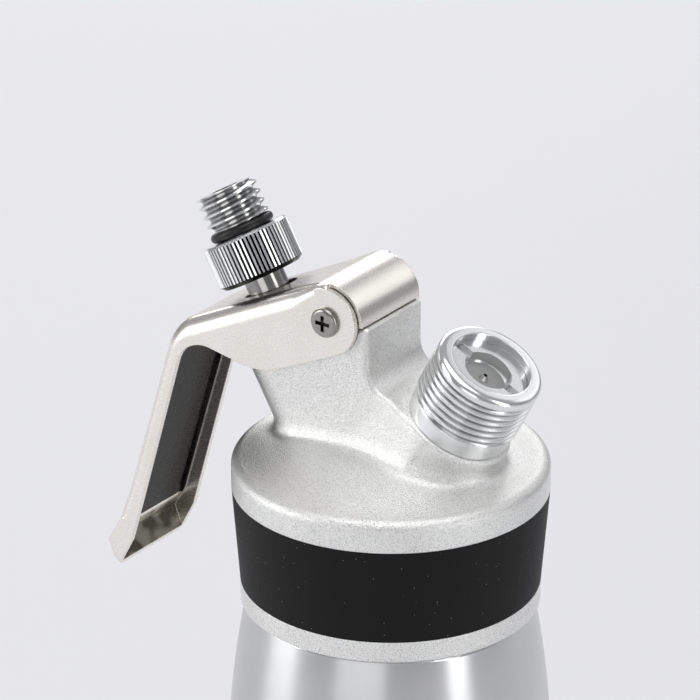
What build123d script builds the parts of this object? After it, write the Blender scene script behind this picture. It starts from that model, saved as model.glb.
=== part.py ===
from build123d import *
import os
from math import cos, pi, radians, sin, sqrt, tan

# A whipped cream dispenser. Millimetres and degrees, +Z up, origin at the centre of the bottle's base.
# The nozzle and the lever's handle are on the -X side, the charger inlet is on the +X side.
# Everything but the screws and threads is symmetric about the XZ plane.

# ---- Driving dimensions ----

# Fits and clearances
RUN_FIT = 0.06          # radial clearance of a turning or sliding fit
GAP = 0.3               # clearance between pieces that move past each other
SEAT_GAP = 0.1          # axial clearance between pieces that are squeezed together in use
CUT = 1.0               # reach of a cutter past the face that it opens
THREAD_BITE = 0.2       # depth that a thread's ridge is rooted in its wall

# Bottle
BODY_R = 37.5           # outer radius of the body
BASE_ROUND = 6.0        # radius of the edge round the base
BOTTLE_H = 149.7        # base to the ledge under the head
LEDGE_STEP = 1.2        # step in from the head's lower ring to the ledge
LEDGE_ROUND = 0.8       # radius of the ledge's edge
SHOULDER_R = 240.0      # radius of the shoulder's arc
NECK_H = 21.0           # ledge to rim
BOTTLE_WALL = 1.6       # wall of the body
NECK_WALL = 2.2         # wall of the neck
BASE_T = 2.5            # thickness of the base

# Thread between bottle and head
HEAD_PITCH = 4.0
HEAD_THREAD_H = 1.1     # height of the ridge
HEAD_CREST = 1.2        # width of the ridge at its crest
HEAD_ROOT = 2.4         # width of the ridge at its root
HEAD_THREAD_L = 12.0    # length of the threaded stretch
HEAD_THREAD_LIFT = 3.0  # ledge to the start of the thread

# Collar of the head
COLLAR_R = 36.0         # outer radius of the rim and of the band's upper edge
BAND_TAPER = 1.8        # narrowing of the band from its upper edge to its lower one
COLLAR_GAP = 0.4        # ledge to the collar's lower edge
RING_H = 5.0            # height of the ring under the band
BAND_H = 22.9           # height of the band
BAND_DEPTH = 1.0        # thickness of the band at its lower edge
COLLAR_WALL = 2.3       # wall of the collar behind the band, down to the thread's root
RIM_H = 6.8             # height of the rim above the band
RIM_ROUND = 1.8         # radius of the rim's upper edge
DOME_RISE = 6.0         # height of the dome above the rim
HOLLOW_STEP = 5.9       # step in from the collar's bore to the hollow under the dome
DOME_WALL = 4.5         # thickness of the dome over the edge of the hollow
GASKET_T = 2.2          # thickness of the head gasket
GASKET_W = 4.0          # width of the head gasket

# Neck of the head
TILT = 30.0             # lean of the nozzle axis from the vertical, towards -X
PIVOT_X = -9.0          # lever pivot
PIVOT_RISE = 41.5       # lever pivot above the band's upper edge
NECK_HALF = 11.0        # half width of the cast neck, and radius of its front
NECK_TOP_R = 6.0        # radius of the neck's top about the pivot
SHOULDER_CLEAR = 3.0    # thrust collar's flange to the neck's sloping top
REAR_X = 0.9            # rear face of the neck
REAR_HALF = 11.6        # half width of the neck behind the ears
REAR_CURVE = 5.5        # height of the hollow curve from the neck to the inlet
REAR_ROUND = 1.2        # radius of the rear face's upright edges

# Lever
LEVER_TILT = 26.2       # slope of the lever's plate at rest
LEVER_HALF = 12.5       # half width over the ears
SHEET = 1.2             # sheet thickness
LEVER_ARM = 22.6        # pivot to nozzle axis
PLATE_TOP = 8.7         # pivot to the top face of the lever's plate
EAR_R = 7.8             # radius of the ears' round ends
HOOD_WRAP = 116.2       # angle that the hood wraps about the pivot
PLATE_L = 44.5          # pivot to the bend of the handle, along the plate
HANDLE_LEAN = 17.0      # lean of the handle from the vertical
HANDLE_L = 59.2         # bend to the flare
BEND_R = 12.0           # outer radius of the bend
FOLD_R = 2.4            # outer radius of the folded edges
FLANGE = 4.4            # depth of the handle's flange at the bend
FLANGE_LOW = 5.2        # depth of the handle's flange at the flare
NOTCH_R = 8.2           # radius of the side's edge inside the bend
EAR_RISE = 36.3         # slope of the side's edge from the ear up to the bend, against the plate
EAR_DEPTH = 7.4         # pivot to the ear's lower corner, down from the plate's line
EAR_L = 24.0            # pivot to the ear's lower corner, along the plate
FLARE_L = 3.7           # length of the flare below the handle
FLARE_ANGLE = 13.7      # outward turn of the flare
LIP_L = 6.9             # length of the lip that closes the handle's tip
LIP_ANGLE = 38.3        # inward turn of the lip
SLIT_START = 3.7        # pivot to the inner end of the slits beside the hood
EAR_CORNER_R = 18.0     # radius of the ear's lower corner
HOOD_HALF = 11.0        # half width of the hood
TIP_ROUND = 2.6         # corner radius of the handle's tip
SLOT_W = 10.6           # width of the slot round the thrust collar
SLOT_EXTRA = 3.0        # length of the slot beyond its width
PRESS_ANGLE = 7.5       # travel of the lever

# Pivot
BARREL_R = 3.0          # pivot barrel
PIVOT_HEAD_R = 3.5      # heads of the screw and of the barrel
PIVOT_HEAD_H = 1.3
PIVOT_HEAD_ROUND = 0.9  # radius of the screw head's edge
PIVOT_SCREW_R = 1.8     # shank of the screw
PIVOT_SCREW_L = 14.0    # length of the shank
RECESS_W = 0.9          # width of the cross recess
RECESS_L = 3.8          # length of the cross recess
RECESS_D = 1.0          # depth of the cross recess

# Valve, along the nozzle axis from the level of the pivot
STEM_R = 3.5            # outer radius of the stem
STEM_BORE_R = 1.5       # cream passage
STEM_TOP = 17.0
VALVE_SEAT = -34.0      # end of the flow bore, where the valve gasket seats
FLOW_R = 4.6            # radius of the flow bore round the stem
CROSS_HOLE_R = 1.2      # holes that lead into the stem
STEM_SHOULDER_T = 1.0   # shoulder that holds the gasket
THRUST_NECK_R = 4.8     # thrust collar where it passes the lever
THRUST_FLANGE_R = 7.0
THRUST_FLANGE_T = 2.0
THRUST_SKIRT_R = 4.6
THRUST_SKIRT_L = 3.0
WELL_R = 6.8            # spring well
WELL_FLOOR = -9.0
BOSS_TOP = 0.9
GUIDE_R = 5.5           # guide bush
GUIDE_L = 6.0
O_RING_W = 1.0          # section of the stem's O-ring
SPRING_WIRE_R = 0.55
SPRING_R = 5.6          # mean radius of the return spring
SPRING_TURNS = 6
VALVE_GASKET_R = 6.2
VALVE_GASKET_T = 2.0
RETAINER_R = 5.4
RETAINER_T = 2.6
VALVE_BOSS_R = 8.6      # boss in the hollow that carries the valve's bore

# Nozzle adapter
ADAPTER_GAP = 3.5       # lever plate to the knurl, along the axis
KNURL_R = 10.2
KNURL_L = 10.4
KNURL_DEPTH = 0.5       # depth of the grooves
KNURL_COUNT = 64        # grooves round the adapter
KNURL_LAND = 0.42       # width of the land between two grooves
KNURL_TOP_BEVEL = 0.6   # bevel of the knurl's upper edge
KNURL_LOW_BEVEL = 1.0   # bevel of its lower edge
O_NECK_L = 2.4          # neck that holds the adapter's O-ring
NOZZLE_THREAD_R = 7.3   # crest of the nozzle thread
NOZZLE_THREAD_H = 1.3
NOZZLE_THREAD_L = 8.5
NOZZLE_LEAD = 0.3       # plain ends of the nozzle thread
NOZZLE_PITCH = 2.2
NOZZLE_CREST = 0.4
NOZZLE_ROOT = 1.9
ADAPTER_GROOVE = 0.6    # depth of the O-ring's neck below the thread's root
OUTLET_R = 3.2
ADAPTER_O_RING_W = 2.2
WASHER_T = 1.2

# Charger inlet, along its own axis from its joint with the casting
PORT_TILT = 28.0        # lean of the inlet from the vertical, towards +X
PORT_X = 18.4           # centre of the joint
PORT_RISE = 20.3        # centre of the joint above the band's upper edge
PORT_BOSS_R = 12.8
INLET_L = 18.0
INLET_THREAD_R = 12.4   # crest of the inlet's thread
INLET_THREAD_H = 1.0
INLET_PITCH = 1.75
INLET_CREST = 0.5
INLET_ROOT = 1.45
INLET_RELIEF = 0.3      # plain root below the thread
INLET_BAND_R = 12.0
INLET_BAND_L = 4.2
INLET_RIM_L = 2.2
INLET_ROUND = 1.5       # radius of the rim's outer edge
MOUTH_R = 9.3
MOUTH_DEPTH = 2.0       # rim to the piercing plug
SPIGOT_R = 8.6
SPIGOT_L = 8.0
PLUG_L = 8.0
PLUG_BORE_R = 5.6       # recess for the charger's neck
PLUG_RECESS = 2.8       # depth of that recess, down to the seal
PLUG_SLOT_W = 2.4
PLUG_SLOT_D = 1.6
CHARGER_SEAL_R = 5.2
CHARGER_SEAL_T = 1.6
PIN_R = 1.1
PIN_BORE_R = 0.45
PIN_RISE = 1.2          # needle above the seal
GAS_TUBE_R = 3.0
GAS_TUBE_L = 29.5       # tube below the plug that carries the check valve
GAS_BORE_R = 1.0
SLEEVE_T = 1.2
SLEEVE_L = 6.5
INLET_RING_W = 1.8

# ---- Levels and directions worked out from them ----

COLLAR_Z = BOTTLE_H + COLLAR_GAP
BAND_Z = COLLAR_Z + RING_H
BAND_TOP = BAND_Z + BAND_H
RIM_Z = BAND_TOP + RIM_H
BOTTLE_RIM_Z = BOTTLE_H + NECK_H
SEAT_Z = BOTTLE_RIM_Z + GASKET_T + SEAT_GAP
COLLAR_LOW_R = COLLAR_R - BAND_TAPER
LEDGE_R = COLLAR_LOW_R - LEDGE_STEP
BAND_SEAT_R = COLLAR_LOW_R - BAND_DEPTH
SOCKET_R = BAND_SEAT_R - COLLAR_WALL
NECK_R = SOCKET_R - GAP - HEAD_THREAD_H
HOLLOW_R = SOCKET_R - HOLLOW_STEP
DOME_FOOT_R = COLLAR_R - RIM_ROUND
DOME_R = (DOME_FOOT_R**2 + DOME_RISE**2) / (2 * DOME_RISE)
HOLLOW_Z = RIM_Z + DOME_RISE - DOME_R + sqrt(DOME_R**2 - HOLLOW_R**2) - DOME_WALL

PIVOT = Vector(PIVOT_X, 0, BAND_TOP + PIVOT_RISE)
ALONG = Vector(-cos(radians(TILT)), 0, -sin(radians(TILT)))    # square to the nozzle, outwards
NORMAL = Vector(-sin(radians(TILT)), 0, cos(radians(TILT)))    # along the nozzle, upwards
PLATE_WAY = Vector(-cos(radians(LEVER_TILT)), 0, -sin(radians(LEVER_TILT)))
LEVER_FRAME = Plane(origin=PIVOT, x_dir=PLATE_WAY, z_dir=(0, 1, 0))
NOZZLE_FRAME = Plane(origin=PIVOT + ALONG * LEVER_ARM, x_dir=-ALONG, z_dir=NORMAL)
PIVOT_FRAME = Plane(origin=PIVOT, x_dir=(1, 0, 0), z_dir=(0, 1, 0))
PORT_AXIS = Vector(sin(radians(PORT_TILT)), 0, cos(radians(PORT_TILT)))
PORT_SIDE = Vector(cos(radians(PORT_TILT)), 0, -sin(radians(PORT_TILT)))
PORT_FRAME = Plane(origin=(PORT_X, 0, BAND_TOP + PORT_RISE), x_dir=PORT_SIDE, z_dir=PORT_AXIS)

PLATE_UNDER = PLATE_TOP - SHEET
LEVER_LIFT = radians(TILT - LEVER_TILT)    # the plate's slope against the nozzle's square at rest
LEVER_DROP = radians(PRESS_ANGLE) - LEVER_LIFT    # and when it is pressed
THRUST_TOP = PLATE_TOP / cos(LEVER_LIFT) + LEVER_ARM * tan(LEVER_LIFT) + ADAPTER_GAP
FLANGE_EDGE = LEVER_ARM - THRUST_FLANGE_R
FLANGE_TOP = PLATE_UNDER / cos(LEVER_LIFT) + FLANGE_EDGE * tan(LEVER_LIFT) - GAP
PLUG_TOP = INLET_L - MOUTH_DEPTH
PLUG_LOW = PLUG_TOP - PLUG_L
SEAL_FLOOR = PLUG_TOP - PLUG_RECESS - CHARGER_SEAL_T


# ---- Helpers ----

UPWARDS = (Align.CENTER, Align.CENTER, Align.MIN)


def turned(points, at=Plane.XY):
    """A solid of revolution about the frame's Z axis, from (radius, height) corners."""
    outline = Plane.XZ * make_face(Polyline(*points, close=True))
    return at.location * revolve(outline, Axis.Z)


def tube(outer, inner, low, high, at=Plane.XY):
    """A plain ring between two heights."""
    return turned([(inner, low), (outer, low), (outer, high), (inner, high)], at)


def rod(radius, low, high, at=Plane.XY):
    """A plain cylinder between two heights."""
    return at.location * Pos(0, 0, low) * Cylinder(radius, high - low, align=UPWARDS)


def o_ring(radius, wire_r, height, at=Plane.XY):
    """A ring of round section."""
    return at.location * (Pos(0, 0, height) * Torus(radius, wire_r))


def thread(root_r, crest_r, pitch, low, high, crest, root):
    """A helical ridge between two heights, outside a shaft or inside a bore."""
    bite = THREAD_BITE if crest_r > root_r else -THREAD_BITE
    path = Pos(0, 0, low - pitch) * Helix(pitch, high - low + 2 * pitch, root_r)
    ridge = make_face(
        Polyline(
            (root_r - bite, 0, low - pitch - root / 2),
            (crest_r, 0, low - pitch - crest / 2),
            (crest_r, 0, low - pitch + crest / 2),
            (root_r - bite, 0, low - pitch + root / 2),
            close=True,
        )
    )
    turns = sweep(ridge, path=path, is_frenet=True)
    reach = max(root_r, crest_r) + CUT
    return turns & rod(reach, low, high)


def nozzle_point(v, u):
    """World X and Z of a point given square to the nozzle and along it, from the pivot."""
    at = PIVOT + ALONG * v + NORMAL * u
    return (at.X, at.Z)


def inset(points, depth):
    """The polyline moved to its right by a depth, with mitred corners."""
    ways = [(b - a).normalized() for a, b in zip(points, points[1:])]
    sides = [Vector(way.Y, -way.X) for way in ways]
    moved = [points[0] + sides[0] * depth]
    for corner, one, two in zip(points[1:], sides, sides[1:]):
        moved.append(corner + (one + two) * (depth / (1 + one.dot(two))))
    moved.append(points[-1] + sides[-1] * depth)
    return moved


def meeting(start, way, other_start, other_way):
    """Point where two lines meet, each given by a point and a direction."""
    across = Vector(-other_way.Y, other_way.X)
    return start + way * ((other_start - start).dot(across) / way.dot(across))


def rounded(face, corner, radius):
    """The face with its corner nearest to a point rounded."""
    nearest = face.vertices().sort_by_distance(corner)[0]
    return fillet(nearest, radius)


# ---- Bottle ----

def bottle():
    """Aluminium bottle with a curved shoulder, a ledge and a threaded neck."""
    top = BOTTLE_H - LEDGE_ROUND
    foot = top - sqrt(SHOULDER_R**2 - (SHOULDER_R - BODY_R + LEDGE_R) ** 2)
    outline = Line((0, 0), (BODY_R - BASE_ROUND, 0))
    outline += RadiusArc((BODY_R - BASE_ROUND, 0), (BODY_R, BASE_ROUND), -BASE_ROUND)
    outline += Line((BODY_R, BASE_ROUND), (BODY_R, foot))
    outline += RadiusArc((BODY_R, foot), (LEDGE_R, top), -SHOULDER_R)
    outline += RadiusArc((LEDGE_R, top), (LEDGE_R - LEDGE_ROUND, BOTTLE_H), -LEDGE_ROUND)
    outline += Polyline((LEDGE_R - LEDGE_ROUND, BOTTLE_H), (0, BOTTLE_H), (0, 0))
    full = revolve(Plane.XZ * make_face(outline), Axis.Z)
    inner_r = BODY_R - BOTTLE_WALL
    round_in = BASE_ROUND - BOTTLE_WALL
    inside = Line((0, BASE_T), (inner_r - round_in, BASE_T))
    inside += RadiusArc((inner_r - round_in, BASE_T), (inner_r, BASE_T + round_in), -round_in)
    inside += Line((inner_r, BASE_T + round_in), (inner_r, foot))
    inside += RadiusArc((inner_r, foot), (LEDGE_R - BOTTLE_WALL, top), -SHOULDER_R)
    neck_in = NECK_R - NECK_WALL
    neck_foot = BOTTLE_H - BOTTLE_WALL
    inside += Polyline((LEDGE_R - BOTTLE_WALL, top), (neck_in, neck_foot), (0, neck_foot), (0, BASE_T))
    cavity = revolve(Plane.XZ * make_face(inside), Axis.Z)
    shell = full + rod(NECK_R, neck_foot, BOTTLE_RIM_Z) - cavity
    shell -= rod(neck_in, neck_foot - CUT, BOTTLE_RIM_Z + CUT)
    low = BOTTLE_H + HEAD_THREAD_LIFT
    high = low + HEAD_THREAD_L
    crest_r = NECK_R + HEAD_THREAD_H
    return shell + thread(NECK_R, crest_r, HEAD_PITCH, low, high, HEAD_CREST, HEAD_ROOT)


# ---- Head ----

def dome_and_collar():
    """Collar with the band's groove, rounded rim and shallow dome, filled."""
    outline = Polyline(
        (0, COLLAR_Z),
        (COLLAR_LOW_R, COLLAR_Z),
        (COLLAR_LOW_R, BAND_Z),
        (BAND_SEAT_R, BAND_Z),
        (BAND_SEAT_R, BAND_TOP),
        (COLLAR_R, BAND_TOP),
        (COLLAR_R, RIM_Z - RIM_ROUND),
    )
    outline += RadiusArc((COLLAR_R, RIM_Z - RIM_ROUND), (DOME_FOOT_R, RIM_Z), -RIM_ROUND)
    outline += RadiusArc((DOME_FOOT_R, RIM_Z), (0, RIM_Z + DOME_RISE), -DOME_R)
    outline += Line((0, RIM_Z + DOME_RISE), (0, COLLAR_Z))
    return revolve(Plane.XZ * make_face(outline), Axis.Z)


def neck():
    """Flat-sided neck from the valve's boss to the inlet, with a round top about the pivot."""
    port_corner = PORT_FRAME.from_local_coords(Vector(-PORT_BOSS_R, 0, 0))
    corner = (port_corner.X, port_corner.Z)
    ledge_z = PIVOT.Z - GAP
    curve_top = (REAR_X, port_corner.Z + REAR_CURVE)
    foot_u = -(PIVOT_RISE - LEVER_ARM * sin(radians(TILT))) / cos(radians(TILT))
    well_edge = LEVER_ARM - THRUST_FLANGE_R - SHOULDER_CLEAR / 3
    shoulder_v = LEVER_ARM - THRUST_FLANGE_R - SHOULDER_CLEAR
    shoulder_u = PLATE_UNDER - (FOLD_R - SHEET) - GAP - shoulder_v * tan(LEVER_DROP)
    outline = Polyline(
        corner,
        (PORT_X, BAND_TOP + PORT_RISE),
        (PORT_X, BAND_TOP),
        nozzle_point(LEVER_ARM, foot_u),
        nozzle_point(LEVER_ARM, BOSS_TOP),
        nozzle_point(well_edge, BOSS_TOP),
        nozzle_point(shoulder_v, shoulder_u),
        nozzle_point(0, NECK_TOP_R),
        (PIVOT.X, PIVOT.Z),
        (PIVOT.X, ledge_z),
        (REAR_X, ledge_z),
        curve_top,
    )
    outline += TangentArc(curve_top, corner, tangent=(0, -1))
    side = make_face(outline)
    face = side + Pos(PIVOT.X, PIVOT.Z) * Circle(NECK_TOP_R)
    slim = extrude(Plane.XZ * face, NECK_HALF, both=True)
    behind = PIVOT.X + EAR_R + 2 * GAP
    rear = Rectangle(2 * COLLAR_R, 2 * PIVOT.Z, align=(Align.MIN, Align.CENTER))
    wide = extrude(Plane.XZ * (side & Pos(behind, BAND_TOP) * rear), REAR_HALF, both=True)
    rear_edges = [
        edge
        for edge in wide.edges()
        if abs(abs((edge @ 0.5).Y) - REAR_HALF) < 0.01
        and (edge @ 0.5).X > REAR_X - 0.01
        and edge.bounding_box().min.Z > port_corner.Z - 0.01
    ]
    return slim + fillet(rear_edges, REAR_ROUND)


def head_outside():
    """The casting's outer form, filled."""
    above = Pos(0, 0, BAND_TOP) * Box(4 * COLLAR_R, 4 * COLLAR_R, 2 * PIVOT_RISE, align=UPWARDS)
    front = rod(NECK_HALF, VALVE_SEAT - NECK_HALF, BOSS_TOP, NOZZLE_FRAME) & above
    port = rod(PORT_BOSS_R, -2 * PORT_BOSS_R, 0, PORT_FRAME) & above
    return dome_and_collar() + neck() + front + port


def head_casting():
    """Cast head: collar, dome, neck and inlet boss, with its socket, thread, hollow and bores."""
    guide_low = WELL_FLOOR - GUIDE_L
    hollow = rod(HOLLOW_R, SEAT_Z - CUT, HOLLOW_Z) - rod(VALVE_BOSS_R, VALVE_SEAT, BOSS_TOP, NOZZLE_FRAME)
    body = head_outside() - rod(SOCKET_R, COLLAR_Z - CUT, SEAT_Z) - hollow
    body -= rod(WELL_R, WELL_FLOOR, BOSS_TOP + CUT, NOZZLE_FRAME)
    body -= rod(GUIDE_R, guide_low, WELL_FLOOR + CUT, NOZZLE_FRAME)
    body -= rod(FLOW_R, VALVE_SEAT - CUT, guide_low + CUT, NOZZLE_FRAME)
    body -= rod(SPIGOT_R, -SPIGOT_L, CUT, PORT_FRAME)
    body -= rod(SPIGOT_R + INLET_RING_W, -INLET_RING_W, CUT, PORT_FRAME)
    body -= rod(GAS_TUBE_R + SLEEVE_T + GAP, -PORT_RISE / cos(radians(PORT_TILT)), CUT, PORT_FRAME)
    body -= rod(BARREL_R, -NECK_HALF - CUT, NECK_HALF + CUT, PIVOT_FRAME)
    low = BOTTLE_H + HEAD_THREAD_LIFT - HEAD_PITCH / 2
    high = low + HEAD_THREAD_L
    crest_r = SOCKET_R - HEAD_THREAD_H
    return body + thread(SOCKET_R, crest_r, HEAD_PITCH, low, high, HEAD_CREST, HEAD_ROOT)


def grip_band():
    """Tapered silicone band in the collar's groove."""
    return turned(
        [(BAND_SEAT_R, BAND_Z), (COLLAR_LOW_R, BAND_Z), (COLLAR_R, BAND_TOP), (BAND_SEAT_R, BAND_TOP)]
    )


def head_gasket():
    """Flat ring between the bottle's rim and the seat in the head."""
    outer = SOCKET_R - GAP
    low = BOTTLE_RIM_Z + SEAT_GAP / 2
    return tube(outer, outer - GASKET_W, low, SEAT_Z - SEAT_GAP / 2)


# ---- Lever and pivot ----

def lever_line():
    """Corners of the plate, handle, flare and lip, along the sheet's outer side."""
    turn = radians(90 - LEVER_TILT - HANDLE_LEAN)
    corners = [Vector(0, PLATE_TOP), Vector(PLATE_L, PLATE_TOP)]
    flare = turn - radians(FLARE_ANGLE)
    lip = turn + radians(LIP_ANGLE)
    for length, angle in ((HANDLE_L, turn), (FLARE_L, flare), (LIP_L, lip)):
        corners.append(corners[-1] + Vector(cos(angle), -sin(angle)) * length)
    return corners


def tip_outline(shrink):
    """Front view of the lever with the handle's rounded tip, as a solid across the lever."""
    corners = lever_line()
    handle = (corners[2] - corners[1]).normalized()
    reach = (corners[-1] - corners[1]).dot(handle) - shrink
    length = reach + 2 * PLATE_L
    middle = corners[1] + handle * (reach - length / 2)
    front = Plane(origin=middle, x_dir=handle, z_dir=Vector(-handle.Y, handle.X))
    shape = RectangleRounded(length, 2 * (LEVER_HALF - shrink), TIP_ROUND - shrink)
    return extrude(front * shape, 4 * PLATE_L, both=True)


def lever_solid(outline, half, fold, side_edges):
    """The outline across the lever's width, with its folded edges rounded."""
    block = extrude(outline, half, both=True)
    folded = [
        edge
        for edge in block.edges()
        if abs(abs((edge @ 0.5).Z) - half) < 0.01 and side_edges(edge @ 0.5)
    ]
    return fillet(folded, fold)


def lever():
    """Stamped lever: plate with a slot, two ears, a hood over the pivot and a channel-shaped handle."""
    outer_line = lever_line()
    inner_line = inset(outer_line, SHEET)
    handle = (outer_line[2] - outer_line[1]).normalized()
    inward = Vector(handle.Y, -handle.X)
    flange_low = outer_line[2] + inward * FLANGE_LOW
    flange_way = (outer_line[1] + inward * FLANGE - flange_low).normalized()
    ear_corner = Vector(EAR_L, -EAR_DEPTH)
    rise_way = Vector(cos(radians(EAR_RISE)), sin(radians(EAR_RISE)))
    notch = meeting(flange_low, flange_way, ear_corner, rise_way)

    slit_end = Vector(-SLIT_START, PLATE_TOP)
    outline = make_face(
        Polyline(
            slit_end,
            *outer_line[1:],
            flange_low,
            notch,
            ear_corner,
            Vector(0, -EAR_R),
            Vector(-SLIT_START, 0),
            close=True,
        )
    )
    outline = rounded(outline, outer_line[1], BEND_R)
    outline = rounded(outline, notch, NOTCH_R)
    outline = rounded(outline, ear_corner, EAR_CORNER_R)
    beyond = inner_line[-1] + inward * (2 * FLANGE)
    far = -2 * EAR_R
    inside = make_face(
        Polyline(
            Vector(far, PLATE_UNDER),
            *inner_line[1:],
            beyond,
            Vector(0, 2 * far),
            Vector(far, 2 * far),
            close=True,
        )
    )
    inside = rounded(inside, inner_line[1], BEND_R - SHEET)

    def on_top(depth):
        def test(point):
            above = point.Y > PLATE_TOP - depth - 0.01
            down = (Vector(point.X, point.Y) - outer_line[1]).dot(inward)
            along = (Vector(point.X, point.Y) - outer_line[1]).dot(handle)
            return above or (down < depth + FLANGE / 2 and 0 < along < HANDLE_L)
        return test

    shell = lever_solid(outline, LEVER_HALF, FOLD_R, on_top(0)) & tip_outline(0)
    shell -= lever_solid(inside, LEVER_HALF - SHEET, FOLD_R - SHEET, on_top(SHEET)) & tip_outline(SHEET)
    square = Rectangle(2 * PLATE_TOP, 2 * PLATE_TOP, align=(Align.MIN, Align.MIN))
    corner = Pos(-2 * PLATE_TOP, 0) * square
    shell -= extrude(corner - Circle(PLATE_TOP), 2 * LEVER_HALF, both=True)
    ears = extrude(Circle(EAR_R), LEVER_HALF, both=True)
    shell += ears - extrude(Circle(2 * EAR_R), LEVER_HALF - SHEET, both=True)
    wrap = Rot(0, 0, 90) * Pos(0, 0, -HOOD_HALF) * Cylinder(
        PLATE_TOP, 2 * HOOD_HALF, arc_size=HOOD_WRAP, align=(Align.NONE, Align.NONE, Align.MIN)
    )
    hood = wrap - extrude(Circle(PLATE_UNDER), 2 * HOOD_HALF, both=True)
    shell += hood
    slot = SlotOverall(SLOT_W + SLOT_EXTRA, SLOT_W)
    cutter = Plane(origin=(LEVER_ARM, 0, 0), x_dir=(1, 0, 0), z_dir=(0, 1, 0)) * slot
    shell -= extrude(cutter, 2 * PLATE_TOP)
    shell -= extrude(Circle(BARREL_R + RUN_FIT), 2 * LEVER_HALF, both=True)
    return LEVER_FRAME.location * shell


def pivot_barrel():
    """Headed sleeve through both ears and the neck, bored for the screw."""
    end = LEVER_HALF + RUN_FIT
    bevel = PIVOT_HEAD_H / 2
    body = turned(
        [
            (0, -end),
            (BARREL_R, -end),
            (BARREL_R, end),
            (PIVOT_HEAD_R, end),
            (PIVOT_HEAD_R, end + bevel),
            (PIVOT_HEAD_R - bevel, end + PIVOT_HEAD_H),
            (0, end + PIVOT_HEAD_H),
        ],
        PIVOT_FRAME,
    )
    return body - rod(PIVOT_SCREW_R, -end - CUT, PIVOT_SCREW_L - end, PIVOT_FRAME)


def pivot_screw():
    """Pan-head screw with a cross recess."""
    face = -LEVER_HALF - RUN_FIT
    top = face - PIVOT_HEAD_H
    body = rod(PIVOT_HEAD_R, top, face, PIVOT_FRAME)
    body = fillet(body.edges().sort_by(Axis.Y)[0], PIVOT_HEAD_ROUND)
    body += rod(PIVOT_SCREW_R, face, face + PIVOT_SCREW_L - GAP, PIVOT_FRAME)
    for spin in (0, 90):
        bar = Rot(0, 0, spin) * Pos(0, 0, top) * Box(RECESS_L, RECESS_W, 2 * RECESS_D)
        body -= PIVOT_FRAME.location * bar
    return body


# ---- Valve ----

def thrust_collar():
    """Collar on the stem: a neck through the lever's slot, a flange under the lever and a spring skirt."""
    low = FLANGE_TOP - THRUST_FLANGE_T
    return turned(
        [
            (STEM_R, low - THRUST_SKIRT_L),
            (THRUST_SKIRT_R, low - THRUST_SKIRT_L),
            (THRUST_SKIRT_R, low),
            (THRUST_FLANGE_R, low),
            (THRUST_FLANGE_R, FLANGE_TOP),
            (THRUST_NECK_R, FLANGE_TOP),
            (THRUST_NECK_R, THRUST_TOP),
            (STEM_R, THRUST_TOP),
        ],
        NOZZLE_FRAME,
    )


def return_spring():
    """Coil spring between the guide bush and the thrust collar's flange."""
    low = WELL_FLOOR + SPRING_WIRE_R + SEAT_GAP
    high = FLANGE_TOP - THRUST_FLANGE_T - SPRING_WIRE_R - SEAT_GAP
    path = Helix((high - low) / SPRING_TURNS, high - low, SPRING_R)
    wire = Plane(origin=path @ 0, z_dir=path % 0) * Circle(SPRING_WIRE_R)
    return NOZZLE_FRAME.location * (Pos(0, 0, low) * sweep(wire, path=path, is_frenet=True))


def stem_guide():
    """Bush that guides the stem and carries the spring."""
    return tube(GUIDE_R, STEM_R + RUN_FIT, WELL_FLOOR - GUIDE_L, WELL_FLOOR, NOZZLE_FRAME)


def valve_stem():
    """Hollow stem with a shoulder over the gasket, an O-ring groove and cross holes."""
    gasket_top = VALVE_SEAT - SEAT_GAP
    shoulder_top = gasket_top + STEM_SHOULDER_T
    low = gasket_top - VALVE_GASKET_T - RETAINER_T
    shoulder_r = FLOW_R - GAP
    body = turned(
        [
            (0, low),
            (STEM_R, low),
            (STEM_R, gasket_top),
            (shoulder_r, gasket_top),
            (shoulder_r, shoulder_top),
            (STEM_R, shoulder_top),
            (STEM_R, STEM_TOP),
            (0, STEM_TOP),
        ],
        NOZZLE_FRAME,
    )
    groove = WELL_FLOOR - O_RING_W
    half = O_RING_W / 2 + SEAT_GAP
    body -= tube(STEM_R + CUT, STEM_R - O_RING_W, groove - half, groove + half, NOZZLE_FRAME)
    hole = shoulder_top + 2 * CROSS_HOLE_R
    body -= rod(STEM_BORE_R, hole - CROSS_HOLE_R, STEM_TOP + CUT, NOZZLE_FRAME)
    for side in (Plane.XZ, Plane.YZ):
        drill = extrude(side * Circle(CROSS_HOLE_R), 2 * STEM_R, both=True)
        body -= NOZZLE_FRAME.location * Pos(0, 0, hole) * drill
    return body


def stem_o_ring():
    return o_ring(STEM_R - O_RING_W / 2, O_RING_W / 2, WELL_FLOOR - O_RING_W, NOZZLE_FRAME)


def valve_gasket():
    """Rubber disc that closes the flow bore."""
    top = VALVE_SEAT - SEAT_GAP
    return tube(VALVE_GASKET_R, STEM_R, top - VALVE_GASKET_T, top, NOZZLE_FRAME)


def gasket_retainer():
    """Nut that holds the valve gasket on the stem."""
    top = VALVE_SEAT - SEAT_GAP - VALVE_GASKET_T
    nut = extrude(RegularPolygon(RETAINER_R, 6) - Circle(STEM_R), RETAINER_T)
    return NOZZLE_FRAME.location * (Pos(0, 0, top - RETAINER_T) * nut)


# ---- Nozzle adapter ----

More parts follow.
